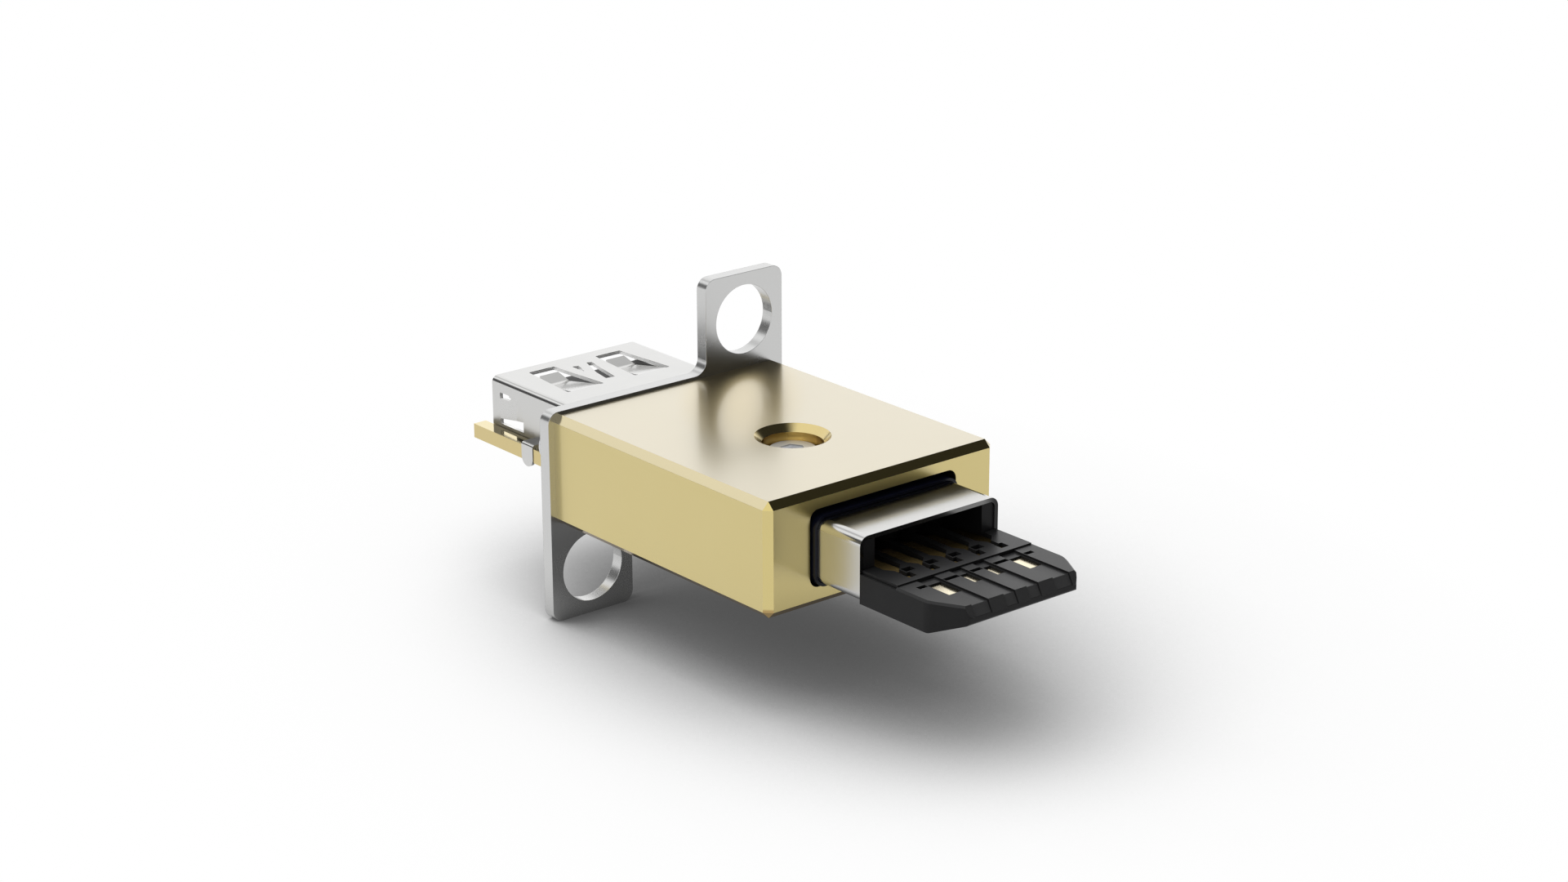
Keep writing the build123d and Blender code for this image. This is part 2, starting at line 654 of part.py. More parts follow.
with BuildPart() as plug_nose:
    with BuildSketch(Plane.YZ):
        with BuildLine():
            FilletPolyline((plug_front, plug_bottom), (nose_tip + nose_under_length, plug_bottom),
                           (nose_tip + strip_depth, plug_bottom + nose_under_rise),
                           (nose_tip + strip_depth, lip_z),
                           (nose_edge_y + strip_depth, strip_level), (plug_front, strip_level),
                           radius=[0, nose_under_round, nose_tip_round, strip_round, strip_round, 0],
                           close=True)
        make_face()
    extrude(amount=plug_width / 2, both=True)
    for start, stop in raised:
        with BuildSketch(Plane.YZ.offset(start)):
            with BuildLine():
                Polyline((cover_front, nose_top), (nose_edge_y, nose_top), (nose_tip, lip_z),
                         (nose_tip + strip_lip, lip_z), (cover_front, lip_z), close=True)
            make_face()
        extrude(amount=stop - start)
    with BuildSketch(Plane.XY.offset(strip_level)):
        with Locations((0, (plug_front + cover_front) / 2)):
            Rectangle(plug_width, plug_front - cover_front)
    extrude(amount=strip_depth)
    add(nose_outline.part, mode=Mode.INTERSECT)
    with BuildSketch(Plane.XZ.offset(-plug_front)):
        RectangleRounded(plug_width - 2 * (plug_wall + fit_gap), inner_height - 2 * fit_gap,
                         plug_bend - plug_wall)
    extrude(amount=plug_front - plug_rear)
    with BuildSketch(Plane.XY.offset(cover_bottom - fit_gap)):
        with Locations((0, (cover_front + plug_front) / 2 - fit_gap / 2)):
            Rectangle(plug_width - 2 * cover_margin + 2 * fit_gap, cover_reach + fit_gap)
        with Locations((0, (plug_front + plug_rear - back_wall) / 2)):
            Rectangle(2 * post_inner, plug_rear - back_wall - plug_front)
    extrude(amount=plug_height, mode=Mode.SUBTRACT)
    with BuildSketch(Plane.XY.offset(nose_top)):
        with Locations((0, plug_front + post_setback / 2)):
            Rectangle(plug_width, post_setback)
    extrude(amount=plug_height, mode=Mode.SUBTRACT)
    with BuildSketch(Plane.XY.offset(slot_floor)):
        for place in five_places:
            with Locations((place, (plug_front - slot_tip_reach + plug_rear - back_wall) / 2)):
                Rectangle(slot_width, plug_rear - back_wall - plug_front + slot_tip_reach)
    extrude(amount=cover_bottom - slot_floor, mode=Mode.SUBTRACT)
    with BuildSketch(Plane.XY.offset(pad_level)):
        for place in four_places:
            outer = abs(place) == outer_place
            window_length = outer_window_length if outer else inner_window_length
            with Locations((place, window_rear_y - window_length / 2)):
                Rectangle(outer_window_width if outer else inner_window_width, window_length)
    extrude(amount=pad_sink + strip_depth, mode=Mode.SUBTRACT)
    with BuildSketch(Plane.XY.offset(nose_top - slit_depth)):
        for start, stop in raised[1:4]:
            with Locations(((start + stop) / 2, window_rear_y - slit_length / 2)):
                Rectangle(stop - start - 2 * slit_margin, slit_length)
        for side in (-1, 1):
            with Locations((side * (raised[4][0] + slit_margin + outer_slit_width / 2),
                            window_rear_y - slit_length / 2)):
                Rectangle(outer_slit_width, slit_length)
    extrude(amount=slit_depth, mode=Mode.SUBTRACT)
    for piece in plug_contacts:
        add(piece, mode=Mode.SUBTRACT)

plug_nose.part.label = "plug_nose"
export_step(plug_nose.part, "parts/plug_nose.step")

# Plug cover: a thin plate over the blades, slotted for each of them
cover_side = plug_width / 2 - cover_margin
cover_rear = plug_front + cover_tail
with BuildPart() as plug_cover:
    with BuildSketch(Plane.XY.offset(cover_bottom)):
        with Locations((0, (cover_front + plug_front - fit_gap) / 2)):
            Rectangle(2 * cover_side, cover_reach - fit_gap)
        with Locations((0, (cover_front + cover_rear) / 2)):
            Rectangle(2 * (post_inner - fit_gap), cover_rear - cover_front)
        for place in five_places:
            with BuildLine():
                Polyline((place - slot_tip_width / 2, plug_front - slot_tip_reach),
                         (place - slot_tip_width / 2, slot_neck_front),
                         (place - slot_neck_left, slot_neck_front),
                         (place - slot_neck_left, slot_taper_front),
                         (place - slot_width / 2, slot_wide_front),
                         (place - slot_width / 2, cover_rear - cover_bridge),
                         (place + slot_width / 2, cover_rear - cover_bridge),
                         (place + slot_width / 2, slot_wide_front),
                         (place + slot_neck_right, slot_taper_front),
                         (place + slot_neck_right, slot_neck_front),
                         (place + slot_tip_width / 2, slot_neck_front),
                         (place + slot_tip_width / 2, plug_front - slot_tip_reach), close=True)
            make_face(mode=Mode.SUBTRACT)
        for place in five_places[:4]:
            with Locations((place + slot_neck_right + notch_wall + notch_width / 2,
                            plug_front - notch_reach - notch_length / 2)):
                Rectangle(notch_width, notch_length, mode=Mode.SUBTRACT)
    extrude(amount=cover_thickness)

plug_cover.part.label = "plug_cover"
export_step(plug_cover.part, "parts/plug_cover.step")
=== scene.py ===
import bmesh
import bpy
import math
import numpy as np
from mathutils import Matrix, Vector


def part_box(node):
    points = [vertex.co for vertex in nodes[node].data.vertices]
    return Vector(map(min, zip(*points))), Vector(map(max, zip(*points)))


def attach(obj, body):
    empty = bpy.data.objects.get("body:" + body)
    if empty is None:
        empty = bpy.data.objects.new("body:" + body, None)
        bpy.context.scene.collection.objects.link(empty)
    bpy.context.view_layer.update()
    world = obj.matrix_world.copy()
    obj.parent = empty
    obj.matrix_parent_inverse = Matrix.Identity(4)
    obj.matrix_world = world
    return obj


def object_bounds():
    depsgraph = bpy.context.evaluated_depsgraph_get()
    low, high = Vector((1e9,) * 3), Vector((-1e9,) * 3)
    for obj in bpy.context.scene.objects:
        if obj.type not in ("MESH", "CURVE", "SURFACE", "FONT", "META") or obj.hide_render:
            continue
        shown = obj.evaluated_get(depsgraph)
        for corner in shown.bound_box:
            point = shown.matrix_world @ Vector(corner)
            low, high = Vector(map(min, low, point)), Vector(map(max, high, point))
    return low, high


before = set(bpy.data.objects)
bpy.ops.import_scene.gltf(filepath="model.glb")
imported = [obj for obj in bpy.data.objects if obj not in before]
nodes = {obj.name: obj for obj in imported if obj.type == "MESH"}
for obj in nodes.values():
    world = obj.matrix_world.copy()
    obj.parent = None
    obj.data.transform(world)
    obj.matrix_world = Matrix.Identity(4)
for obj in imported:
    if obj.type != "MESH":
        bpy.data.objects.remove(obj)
cadBox = [list(corner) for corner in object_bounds()]
mm = 0.001
bevelSamples = 6
print("frame loaded:", len(nodes), "nodes")


class Sock:
    # wraps one socket, so that shader maths reads as ordinary Python
    def __init__(self, tree, socket=None):
        self.tree = tree
        self.socket = socket

    def plug(self, target, value):
        # a wrapped socket is linked to the input, and any other value is set on it
        if isinstance(value, Sock):
            self.tree.links.new(value.socket, target)
        else:
            target.default_value = value

    def make(self, kind, settings=None, **values):
        # any node: its settings first, then what its sockets take, each by name or as i and its number
        made = self.tree.nodes.new("ShaderNode" + kind)
        for key, value in (settings or {}).items():
            if key == "stops":
                ramp = made.color_ramp
                while len(ramp.elements) < len(value):
                    ramp.elements.new(0.5)
                for element, (place, colour) in zip(ramp.elements, value):
                    element.position = place
                    element.color = (*colour, 1.0)
            else:
                setattr(made, key, value)
        for key, value in values.items():
            self.plug(made.inputs[int(key[1:]) if key[1:].isdigit() else key.replace("_", " ")], value)
        return made

    def node(self, kind, settings=None, out=0, **values):
        # one output of such a node, by its number or name
        return Sock(self.tree, self.make(kind, settings, **values).outputs[out])

    def math(self, operation, first, second=0.0):
        return self.node("Math", {"operation": operation}, i0=first, i1=second)

    def __add__(self, other):
        return self.math("ADD", self, other)

    def __radd__(self, other):
        return self.math("ADD", other, self)

    def __sub__(self, other):
        return self.math("SUBTRACT", self, other)

    def __rsub__(self, other):
        return self.math("SUBTRACT", other, self)

    def __mul__(self, other):
        return self.math("MULTIPLY", self, other)

    def __rmul__(self, other):
        return self.math("MULTIPLY", other, self)

    def __truediv__(self, other):
        return self.math("DIVIDE", self, other)

    def size(self):
        return self.math("ABSOLUTE", self)

    def most(self, other):
        return self.math("MAXIMUM", self, other)

    def ramp(self, low, high):
        # 0 below low, 1 above high, smooth between
        return self.node("MapRange", {"interpolation_type": "SMOOTHSTEP"},
                         i0=self, i1=low, i2=high, i3=0.0, i4=1.0)

    def blend(self, low, high):
        # the colour low where this value is 0 and high where it is 1
        low, high = (colour if isinstance(colour, Sock) else (*colour, 1.0) for colour in (low, high))
        return self.node("Mix", {"data_type": "RGBA"}, out=2, i0=self, i6=low, i7=high)


class Finish:
    # one material: a Principled shader, the piece's own millimetres, and a bump that feeds Normal
    def __init__(self, name, colour, metallic, roughness, **uniform):
        self.material = bpy.data.materials.new(name)
        self.material.use_nodes = True
        self.material.node_tree.nodes.clear()
        self.maker = Sock(self.material.node_tree)
        self.shader = self.maker.make("BsdfPrincipled", Base_Color=(*colour, 1.0), Metallic=metallic,
                                      Roughness=roughness, **uniform)
        self.surface = Sock(self.maker.tree, self.shader.outputs[0])
        self.output = self.maker.make("OutputMaterial", Surface=self.surface)
        self.place = self.maker.node("TexCoord", out="Object")

    def feed(self, name, value):
        self.maker.plug(self.shader.inputs[name], value)

    def split(self, vector):
        return [self.maker.node("SeparateXYZ", out=axis, i0=vector) for axis in "XYZ"]

    def axes(self):
        # the object's X, Y and Z in millimetres
        scaled = self.maker.node("VectorMath", {"operation": "SCALE"}, i0=self.place, Scale=1.0 / mm)
        return self.split(scaled)

    def facing(self):
        # how far the surface faces along X, Y and Z, without its sign
        return [part.size() for part in self.split(self.maker.node("TexCoord", out="Normal"))]

    def noise(self, grain, detail, stretch=(1.0, 1.0, 1.0)):
        # noise whose cells are grain millimetres wide, longer along an axis where stretch is over 1
        scale = [1.0 / (mm * grain * part) for part in stretch]
        moved = self.maker.node("VectorMath", {"operation": "MULTIPLY"}, i0=self.place, i1=scale)
        return self.maker.node("TexNoise", Vector=moved, Scale=1.0, Detail=detail)

    def relief(self, height, depth, edge=0.0):
        # height from 0 to 1 stands depth millimetres high; edge rounds the sharp edges in the shading
        rounded = {}
        if edge:
            rounded["Normal"] = self.maker.node("Bevel", {"samples": bevelSamples}, Radius=edge * mm)
        bump = self.maker.node("Bump", Strength=1.0, Distance=depth * mm, Height=height, **rounded)
        self.feed("Normal", bump)


def putOn(finish, *names):
    # every slot of the named nodes takes the finish
    for name in names:
        node = nodes[name]
        if not node.material_slots:
            node.data.materials.append(finish.material)
        for slot in node.material_slots:
            slot.material = finish.material


def darker(colour, share):
    return tuple(part * share for part in colour)


def squares(first, second):
    return first * first + second * second


# Pale gold block: blasted faces beneath a clear film, smoother chamfers, thin film in the countersink; its top
# painted paler as if lit, with a painted reflection of the ear and painted shade on the underside chamfer
block = {
    # the pale gold is the top's, painted paler as if lit
    "gold": (0.610, 0.500, 0.180), "deep": (0.585, 0.470, 0.155), "pale": (0.600, 0.535, 0.380),
    "rough": 0.34, "chamferRough": 0.15, "depth": 0.0005, "edge": 0.02,
    "coat": 1.0, "thinCoat": 0.25, "coatIor": 1.77, "coatRough": 0.17,
    "drift": (6.0, 3.0), "speck": (0.05, 1.0), "cuts": (0.06, 2.0, (60.0, 1.0, 1.0)),  # grain, detail, stretch
    "driftRough": 0.04, "speckRough": 0.05, "cutsRough": 0.03, "cutsHeight": 0.04,
    "flat": (0.8, 0.95), "level": (0.9, 0.99), "sloping": (0.3, 0.6), "paintedLitTop": (0.2, 1.1),  # a ramp's ends
    # the painted reflection of the ear: its warmer gold, its middle, turn and reach
    "earReflection": (0.628, 0.508, 0.250), "earReflectionAt": (2.7, -4.9), "earReflectionTurn": 39.6, "earReflectionReach": (4.9, 12.5),
    "bore": (0.520, 0.345, 0.085), "ring": (0.62, 0.50, 0.22), "boreReach": 2.95, "boreFade": 0.1,
    # the underside chamfer's darker gold is painted shade
    "boreAddsRough": 0.03, "underShade": (0.42, 0.29, 0.12), "underShadeUp": (0.6, 0.8),
}


def makeBlockFinish():
    finish = Finish("blastedGold", block["gold"], 1.0, block["rough"], Coat_IOR=block["coatIor"],
                    Coat_Roughness=block["coatRough"])
    across, along, up = finish.axes()
    side, front, top = finish.facing()
    drift, speck, cuts = (finish.noise(*block[key]) for key in ("drift", "speck", "cuts"))
    flat = side.most(front).most(top).ramp(*block["flat"])
    level = top.ramp(*block["level"])
    sloping = top.ramp(*block["sloping"])
    # the painted reflection of the ear, in a warmer gold: 1 at its middle in front of the ear, 0 outside a
    # slanting ellipse, on the level top alone
    away = [axis - middle for axis, middle in zip((across, along), block["earReflectionAt"])]
    turn = math.radians(block["earReflectionTurn"])
    far = squares((away[0] * math.cos(turn) - away[1] * math.sin(turn)) / block["earReflectionReach"][0],
                  (away[0] * math.sin(turn) + away[1] * math.cos(turn)) / block["earReflectionReach"][1])
    earReflection = (1.0 - far.ramp(0.0, 1.0)) * level
    # bore: 1 within the countersink's radius of the clamp screw's axis, away from the level top
    hole = [(low + high) / 2 / mm for low, high in zip(*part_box("clamp_screw"))]
    rim = [(block["boreReach"] + more) ** 2 for more in (0.0, block["boreFade"])]
    bore = (1.0 - squares(across - hole[0], along - hole[1]).ramp(*rim)) * (1.0 - level)
    # the painted shade on the underside: 1 on the chamfer round the underside, which takes a darker gold and
    # no film
    underShade = (1.0 - flat) * (1.0 - (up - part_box("housing")[0][2] / mm).ramp(*block["underShadeUp"]))
    # the top is painted paler than the sides as if lit, with a painted reflection of the ear in a warmer gold
    # and painted shade on the underside chamfer; the countersink's ring is paler than its wall
    paintedLitTop = top.ramp(*block["paintedLitTop"]) * (1.0 - front.ramp(*block["sloping"]))
    gold = paintedLitTop.blend(drift.blend(block["deep"], block["gold"]), block["pale"])
    gold = underShade.blend(earReflection.blend(gold, block["earReflection"]), block["underShade"])
    finish.feed("Base Color", bore.blend(gold, sloping.blend(block["bore"], block["ring"])))
    # thin: above 0 where the film is thinner, in the countersink and on the top's front and rear chamfers
    thin = bore.most(front * sloping)
    coat = block["coat"] - thin * (block["coat"] - block["thinCoat"])
    finish.feed("Coat Weight", coat * (1.0 - underShade))
    rough = block["chamferRough"] + flat * (block["rough"] - block["chamferRough"])
    rough = rough + bore * block["boreAddsRough"]
    rough = rough + (speck - 0.5) * block["speckRough"] + (drift - 0.5) * block["driftRough"]
    finish.feed("Roughness", rough + (cuts - 0.5) * top * block["cutsRough"])
    finish.relief(speck + cuts * top * block["cutsHeight"], block["depth"], block["edge"])
    return finish


# Sheet steel of the plate: tumbled satin, slightly cloudy, with its sharp edges rounded
plate = {"steel": (0.605, 0.605, 0.60), "dark": 0.94, "rough": 0.26, "depth": 0.0006, "edge": 0.05,
         "cloud": (2.5, 3.0), "cloudRough": 0.07, "speck": (0.08, 2.0), "speckRough": 0.05}


def makePlateFinish():
    finish = Finish("tumbledSteel", plate["steel"], 1.0, plate["rough"])
    cloud = finish.noise(*plate["cloud"])
    speck = finish.noise(*plate["speck"])
    finish.feed("Base Color", cloud.blend(darker(plate["steel"], plate["dark"]), plate["steel"]))
    rough = plate["rough"] + (cloud - 0.5) * plate["cloudRough"]
    finish.feed("Roughness", rough + (speck - 0.5) * plate["speckRough"])
    finish.relief(speck, plate["depth"], plate["edge"])
    return finish


# Rolled steel of the two shells: satin plating with faint lines along the strip and paler cut edges, and
# painted shade on the plug shell's front edge
shell = {
    "steel": (0.63, 0.628, 0.618), "dark": 0.93, "rough": 0.15, "sideRough": 0.30, "depth": 0.0003,
    "lines": (0.05, 2.0, (1.0, 60.0, 1.0)), "linesRough": 0.06, "cloud": (1.8, 2.0), "cloudRough": 0.04,
    "flat": (0.97, 0.999), "cut": (0.74, 0.738, 0.73), "cutRough": 0.45, "cutMetal": 0.35, "half": 6.55,
    "skin": (0.02, 0.04), "wall": (0.26, 0.28), "bend": (0.5, 0.55), "turned": (0.2, 0.5),
    "socketAlong": (-1.0, 0.0), "rim": (0.17, 0.17, 0.168), "farRimShade": (0.03, 0.03, 0.03),
    "rimFront": (0.9, 0.99), "rimAlong": (-16.0, -15.0), "rimAcross": (4.5, 5.8),
}


def findCut(depth, inward, facing):
    # 1 within the strip's thickness under one face of the shell, past the bend, on what turns off that face
    wall = depth.ramp(*shell["skin"]) * (1.0 - depth.ramp(*shell["wall"]))
    return wall * inward.ramp(*shell["bend"]) * (1.0 - facing.ramp(*shell["turned"]))


def makeShellFinish():
    finish = Finish("rolledSteel", shell["steel"], 1.0, shell["rough"])
    lines = finish.noise(*shell["lines"])
    cloud = finish.noise(*shell["cloud"])
    across, along, up = finish.axes()
    side, front, top = finish.facing()
    flat = side.ramp(*shell["flat"])
    # cut: 1 on the edges of the socket's top windows and side slots, 0 on its skin, bends and springs
    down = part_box("socket_shell")[1][2] / mm - up
    inward = shell["half"] - across.size()
    cut = findCut(down, inward, top).most(findCut(inward, down, side))
    cut = cut * along.ramp(*shell["socketAlong"])
    # rim: 1 on the plug shell's front edge, which is painted dark as shade and darker still at its far side
    rim = front.ramp(*shell["rimFront"]) * (1.0 - along.ramp(*shell["rimAlong"]))
    edge = across.ramp(*shell["rimAcross"]).blend(shell["rim"], shell["farRimShade"])
    steel = rim.blend(cloud.blend(darker(shell["steel"], shell["dark"]), shell["steel"]), edge)
    finish.feed("Base Color", cut.blend(steel, shell["cut"]))
    finish.feed("Metallic", 1.0 - cut * (1.0 - shell["cutMetal"]))
    rough = shell["rough"] + flat * (shell["sideRough"] - shell["rough"])
    rough = rough + cut * (shell["cutRough"] - shell["sideRough"])
    rough = rough + (lines - 0.5) * shell["linesRough"]
    finish.feed("Roughness", rough + (cloud - 0.5) * shell["cloudRough"])
    finish.relief(lines, shell["depth"])
    return finish


# Turned steel of the screws: finely grained, and duller on the clamp screw deep in its countersink, where its
# darker colour is painted shade
screw = {"steel": (0.66, 0.665, 0.67), "dark": 0.85, "rough": 0.30, "depth": 0.0012, "edge": 0.03,
         "cloud": (0.7, 2.0), "cloudRough": 0.1, "grain": (0.11, 1.0), "plateAlong": (-2.0, 0.0),
         "sunk": (0.50, 0.49, 0.46), "sunkMetal": 0.94, "sunkRough": 0.35,
         "recess": (0.85, 0.86, 0.88), "recessMetal": 0.7, "recessDown": (0.05, 0.15)}


def makeScrewFinish():
    finish = Finish("turnedSteel", screw["steel"], 1.0, screw["rough"])
    cloud = finish.noise(*screw["cloud"])
    _, along, up = finish.axes()
    # sunk: 1 on the clamp screw, painted darker as shade, and recess: 1 inside its hexagon
    sunk = 1.0 - along.ramp(*screw["plateAlong"])
    recess = sunk * (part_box("clamp_screw")[1][2] / mm - up).ramp(*screw["recessDown"])
    steel = cloud.blend(darker(screw["steel"], screw["dark"]), screw["steel"])
    finish.feed("Base Color", recess.blend(sunk.blend(steel, screw["sunk"]), screw["recess"]))
    metal = 1.0 - sunk * (1.0 - screw["sunkMetal"])
    finish.feed("Metallic", metal - recess * (screw["sunkMetal"] - screw["recessMetal"]))
    rough = screw["rough"] + sunk * (screw["sunkRough"] - screw["rough"])
    finish.feed("Roughness", rough + (cloud - 0.5) * screw["cloudRough"])
    finish.relief(finish.noise(*screw["grain"]), screw["depth"], screw["edge"])
    return finish


# Board: mirror-bright gold plating on the faces, duller on the routed edges
boardLook = {"gold": (0.74, 0.64, 0.38), "edgeGold": (0.64, 0.525, 0.26), "rough": 0.10,
             "edgeRough": 0.3, "face": (0.6, 0.9), "ripple": (0.9, 2.0), "rippleRough": 0.03,
             "grain": (0.12, 1.0), "depth": 0.0004}


def makeBoardFinish():
    finish = Finish("platedBoard", boardLook["gold"], 1.0, boardLook["rough"])
    face = finish.facing()[2].ramp(*boardLook["face"])
    ripple = finish.noise(*boardLook["ripple"])
    finish.feed("Base Color", face.blend(boardLook["edgeGold"], boardLook["gold"]))
    rough = boardLook["edgeRough"] + face * (boardLook["rough"] - boardLook["edgeRough"])
    finish.feed("Roughness", rough + (ripple - 0.5) * boardLook["rippleRough"])
    finish.relief(finish.noise(*boardLook["grain"]), boardLook["depth"])
    return finish


# Dark blue sleeve: a smooth film with a slight waviness
sleeve = {"navy": (0.003, 0.004, 0.011), "deep": (0.002, 0.0022, 0.004), "rough": 0.30, "gloss": 0.2,
          "wave": (1.2, 2.0), "waveRough": 0.1, "depth": 0.002, "edge": 0.03}


def makeSleeveFinish():
    finish = Finish("navyFilm", sleeve["navy"], 0.0, sleeve["rough"],
                    Specular_IOR_Level=sleeve["gloss"])
    wave = finish.noise(*sleeve["wave"])
    finish.feed("Base Color", wave.blend(sleeve["deep"], sleeve["navy"]))
    finish.feed("Roughness", sleeve["rough"] + (wave - 0.5) * sleeve["waveRough"])
    finish.relief(wave, sleeve["depth"], sleeve["edge"])
    return finish


# Black moulding: spark-eroded grain, a little polished on top, lighter where rubbed, and painted lighter on
# the front bevel as if lit
moulding = {"black": (0.008, 0.008, 0.0083), "rubbed": (0.012, 0.012, 0.0124), "rough": 0.36,
            "gloss": 0.10, "polish": 0.42, "polishIor": 1.45, "polished": (0.3, 0.9),
            "cloud": (1.5, 3.0), "cloudRough": 0.08, "grain": (0.07, 2.0), "grainRough": 0.06,
            "depth": 0.0010, "edge": 0.012, "bevel": (0.034, 0.034, 0.0343), "sloping": (0.3, 0.6)}


def makeMouldingFinish():
    finish = Finish("blackMoulding", moulding["black"], 0.0, moulding["rough"],
                    Specular_IOR_Level=moulding["gloss"], Coat_IOR=moulding["polishIor"],
                    Coat_Roughness=moulding["rough"])
    _, front, top = finish.facing()
    finish.feed("Coat Weight", top.ramp(*moulding["polished"]) * moulding["polish"])
    cloud = finish.noise(*moulding["cloud"])
    grain = finish.noise(*moulding["grain"])
    # painted light: the front bevel takes a lighter black, as if lit
    bevel = front.ramp(*moulding["sloping"]) * top.ramp(*moulding["sloping"])
    black = cloud.blend(moulding["black"], moulding["rubbed"])
    finish.feed("Base Color", bevel.blend(black, moulding["bevel"]))
    rough = moulding["rough"] + (cloud - 0.5) * moulding["cloudRough"]
    finish.feed("Roughness", rough + (grain - 0.5) * moulding["grainRough"])
    finish.relief(grain, moulding["depth"], moulding["edge"])
    return finish


# Contacts: bright gold plating with faint stamping lines along each blade; the pads' gold is painted paler as
# if lit, and the blades' gold painted darker as if shaded
contact = {"shadedBladeGold": {"deep": (0.55, 0.39, 0.15), "pale": (0.66, 0.48, 0.20), "metal": 0.87},
           "litPadGold": {"deep": (0.92, 0.80, 0.56), "pale": (0.95, 0.88, 0.70), "metal": 1.0},
           "rough": 0.18, "lines": (0.06, 2.0, (1.0, 30.0, 1.0)), "linesRough": 0.08,
           "cloud": (0.8, 2.0), "depth": 0.0004,
           # the painted shade on the plug's blades: its colour, and where it sets in across and along
           "bladeShade": (0.10, 0.07, 0.025), "bladeShadeAcross": (-5.0, 5.0), "plugAlong": (-13.0, -12.0)}


def makeContactFinish(name):
    look = contact[name]
    finish = Finish(name, look["deep"], look["metal"], contact["rough"])
    lines = finish.noise(*contact["lines"])
    gold = finish.noise(*contact["cloud"]).blend(look["deep"], look["pale"])
    if name == "shadedBladeGold":
        # painted shade: the plug's blades are painted darker towards the right
        across, along, _ = finish.axes()
        bladeShade = across.ramp(*contact["bladeShadeAcross"]) * (1.0 - along.ramp(*contact["plugAlong"]))
        gold = bladeShade.blend(gold, contact["bladeShade"])
    finish.feed("Base Color", gold)
    finish.feed("Roughness", contact["rough"] + (lines - 0.5) * contact["linesRough"])
    finish.relief(lines, contact["depth"])
    return finish


putOn(makeBlockFinish(), "housing")
putOn(makePlateFinish(), "mounting_plate")
putOn(makeShellFinish(), "socket_shell", "plug_shell")
putOn(makeScrewFinish(), "plate_screw_left", "plate_screw_right", "clamp_screw")
putOn(makeBoardFinish(), "board")
putOn(makeSleeveFinish(), "plug_collar")
nosePlastic = makeMouldingFinish()
putOn(nosePlastic, "plug_nose", "plug_cover", "socket_insulator")
putOn(makeContactFinish("shadedBladeGold"), *[name for name in nodes if "_spring_" in name])
putOn(makeContactFinish("litPadGold"), *[name for name in nodes if "_pad_" in name])
print("finishes on", len(nodes), "nodes")


def addObject(name, data):
    made = bpy.data.objects.new(name, data)
    bpy.context.scene.collection.objects.link(made)
    return made


# Ribs between the pads: low strips on the nose, in millimetres, each round a narrow slit
ribs = {"inner": ((-2.78, -1.5), (-0.5, 0.5), (1.5, 2.78)), "outerFrom": 4.22, "rear": -30.93,
        "front": -36.0, "rake": 0.08, "low": -0.25, "top": -0.10, "bevel": 0.15,
        "slit": (-31.73, -32.11), "slitMargin": 0.05, "outerSlit": 0.70, "half": 6.0,
        "corner": 1.5, "taperFrom": -33.516, "taperAngle": 28.7, "steps": 24}


def noseSide(along, inset):
    # half the nose's width, less the inset, at each place along it: straight, then an arc, then a slope
    angle = math.radians(ribs["taperAngle"])
    radius = ribs["corner"] - inset
    turn = ribs["taperFrom"] - radius * math.sin(angle)
    fall = np.clip(ribs["taperFrom"] - along, 0.0, radius * math.sin(angle))
    arc = ribs["half"] - ribs["corner"] + np.sqrt(radius ** 2 - fall ** 2)
    return arc - np.clip(turn - along, 0.0, None) * math.tan(angle)


def makeSkin(name, rings, finish):
    # a closed skin over rings of points, each joined to the next and the last to the first
    count, around = rings.shape[:2]
    index = np.arange(count * around).reshape(count, around)
    following = np.roll(index, -1, 0)
    faces = np.stack([index, np.roll(index, -1, 1), np.roll(following, -1, 1), following], -1)
    mesh = bpy.data.meshes.new(name)
    mesh.from_pydata((rings.reshape(-1, 3) * mm).tolist(), [], faces.reshape(-1, 4).tolist())
    shape = bmesh.new()
    shape.from_mesh(mesh)
    bmesh.ops.recalc_face_normals(shape, faces=shape.faces)
    shape.to_mesh(mesh)
    shape.free()
    piece = addObject(name, mesh)
    mesh.materials.append(finish.material)
    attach(piece, "root")


def makeRing(inner, outer, along, level):
    # a level ring: the inner side's rear end, the outer side from rear to front, the inner side's front end
    across = np.concatenate([[inner], outer, [inner]])
    places = np.concatenate([along[:1], along, along[-1:]])
    return np.stack([across, places, np.full(across.size, level)], -1)


def makeRib(name, inner, outer, slitFrom, slitTo, side):
    # four rings: the foot and the top of the outside, then the top and the foot of the slit's wall
    # without an outer side of its own, a rib follows the nose's side
    part = np.linspace(0.0, 1.0, ribs["steps"])
    rings = []
    for level, reach, inset in ((ribs["low"], ribs["rake"], 0.0), (ribs["top"], 0.0, ribs["bevel"])):
        along = ribs["rear"] + (ribs["front"] - reach - ribs["rear"]) * part
        across = noseSide(along, inset) if outer is None else np.full_like(along, outer)
        rings.append(makeRing(inner, across, along, level))
    along = ribs["slit"][0] + (ribs["slit"][1] - ribs["slit"][0]) * part
    for level in (ribs["top"], ribs["low"]):
        rings.append(makeRing(slitFrom, np.full_like(along, slitTo), along, level))
    makeSkin(name, np.array(rings) * (side, 1.0, 1.0), nosePlastic)


def makeRibs():
    # three between the pads, numbered from the left, and one along each side of the nose
    margin = ribs["slitMargin"]
    for number, (start, stop) in enumerate(ribs["inner"], 1):
        makeRib(f"nose_rib_{number}", start, stop, start + margin, stop - margin, 1.0)
    start = ribs["outerFrom"]
    slitFrom = start + margin
    for name, side in (("left", -1.0), ("right", 1.0)):
        makeRib(f"nose_rib_{name}", start, None, slitFrom, slitFrom + ribs["outerSlit"], side)


makeRibs()
print("ribs laid on the nose")

